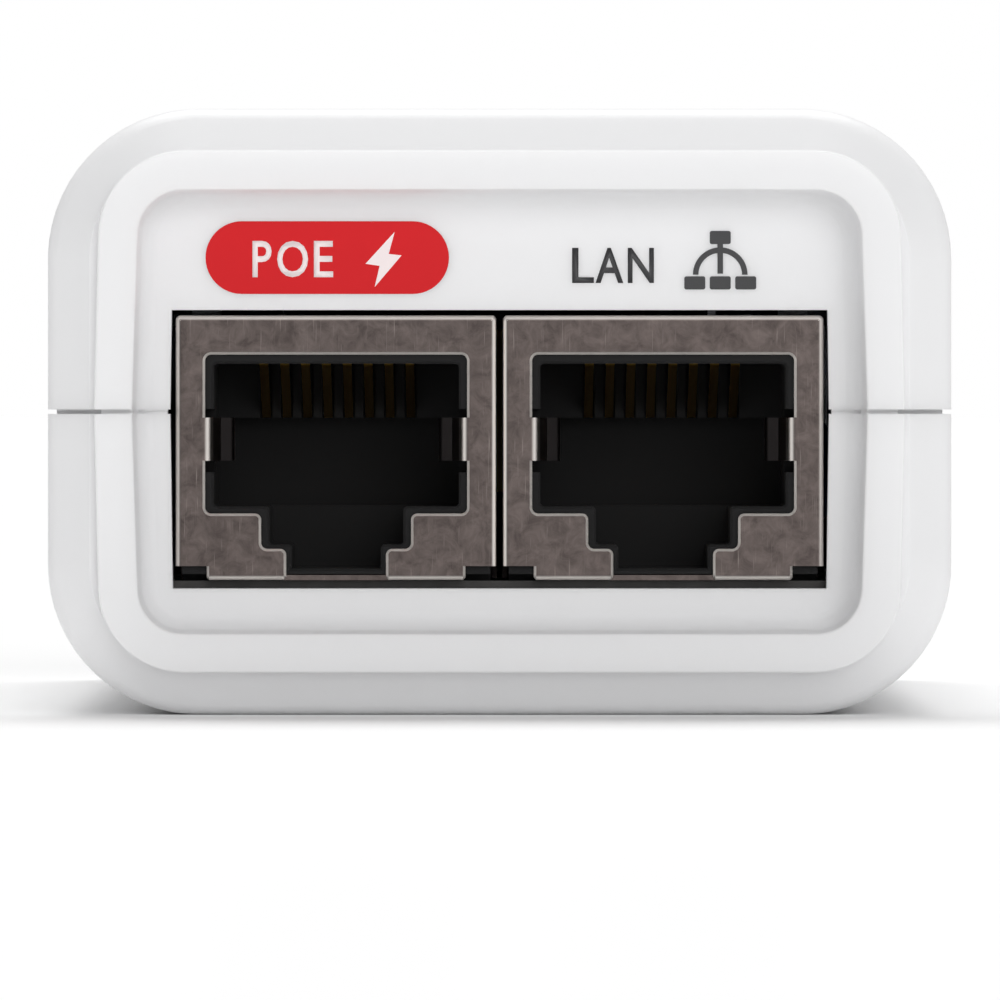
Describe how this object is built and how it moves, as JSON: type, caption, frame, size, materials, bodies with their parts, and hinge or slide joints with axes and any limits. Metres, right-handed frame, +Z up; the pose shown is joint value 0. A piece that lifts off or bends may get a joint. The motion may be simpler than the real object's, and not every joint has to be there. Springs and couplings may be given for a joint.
{
  "type": "power over ethernet injector",
  "caption": "Small white injector box with a recessed front holding two shielded network sockets, a three-pin mains inlet at the back and a power supply inside.",
  "frame": {"origin": "centre of the bottom of the bounding box, on the face the case stands on", "axes": "+X to the right seen from the sockets' end, +Y back from the sockets' end to the mains end, +Z up"},
  "size_m": [0.044, 0.086, 0.0295],
  "materials": {
    "case_plastic": "moulded white, fine satin",
    "insulating_film": "thin pale film",
    "board_laminate": "green solder mask",
    "solder": "bright solder",
    "shield_metal": "nickel-plated sheet",
    "socket_plastic": "black moulding",
    "contact_metal": "gold-plated bronze",
    "inlet_plastic": "black moulding",
    "pin_metal": "nickel-plated brass",
    "clear_plastic": "clear",
    "lamp_resin": "tinted resin",
    "package_resin": "moulded resin",
    "can_sleeve": "shrunk sleeve on a can",
    "ferrite": "sintered, dull",
    "copper_wire": "enamelled copper",
    "disc_lacquer": "dipped lacquer",
    "film_case": "moulded box",
    "sink_aluminium": "bare plate",
    "screw_steel": "zinc-plated",
    "bobbin_plastic": "black moulding",
    "winding_tape": "polyester tape",
    "chip_ceramic": "fired ceramic"
  },
  "bodies": {
    "case": {"bridge_rectifier": "package_resin", "bulk_capacitor": "can_sleeve", "chip_components": "chip_ceramic", "control_chip": "package_resin", "data_magnetics": "package_resin", "inlet_housing": "inlet_plastic", "inlet_pins": "pin_metal", "insulation_sheet": "insulating_film", "lamp_light_pipe": "clear_plastic", "left_contact_tails": "contact_metal", "left_jack_housing": "socket_plastic", "left_jack_insert": "socket_plastic", "left_jack_shield": "shield_metal", "line_choke_core": "ferrite", "line_choke_windings": "copper_wire", "lower_shell": "case_plastic", "main_board": "board_laminate", "mains_film_capacitor": "film_case", "mains_fuse": "package_resin", "optocoupler": "package_resin", "output_capacitors": "can_sleeve", "output_heat_sink": "sink_aluminium", "output_inductor_core": "ferrite", "output_inductor_winding": "copper_wire", "output_rectifier": "package_resin", "package_nuts": "screw_steel", "package_screws": "screw_steel", "primary_heat_sink": "sink_aluminium", "right_contact_tails": "contact_metal", "right_jack_housing": "socket_plastic", "right_jack_insert": "socket_plastic", "right_jack_shield": "shield_metal", "safety_capacitor": "disc_lacquer", "solder_joints": "solder", "status_lamp": "lamp_resin", "surge_suppressors": "package_resin", "switching_transistor": "package_resin", "thermistor": "disc_lacquer", "transformer_bobbin": "bobbin_plastic", "transformer_core": "ferrite", "transformer_pins": "pin_metal", "transformer_tape": "winding_tape", "transformer_winding": "copper_wire", "upper_shell": "case_plastic", "varistor": "disc_lacquer"},
    "left_contacts": {"left_contact_arms": "contact_metal"},
    "right_contacts": {"right_contact_arms": "contact_metal"}
  },
  "joints": [
    {"name": "left_contacts_flex", "type": "hinge", "parent": "case", "child": "left_contacts", "pos_m": [-0.00796, -0.03645, 0.0175], "axis": [1, 0, 0], "range_deg": [0, 7.5], "stiffness_Nm_per_rad": 0.02},
    {"name": "right_contacts_flex", "type": "hinge", "parent": "case", "child": "right_contacts", "pos_m": [0.00796, -0.03645, 0.0175], "axis": [1, 0, 0], "range_deg": [0, 7.5], "stiffness_Nm_per_rad": 0.02}
  ]
}
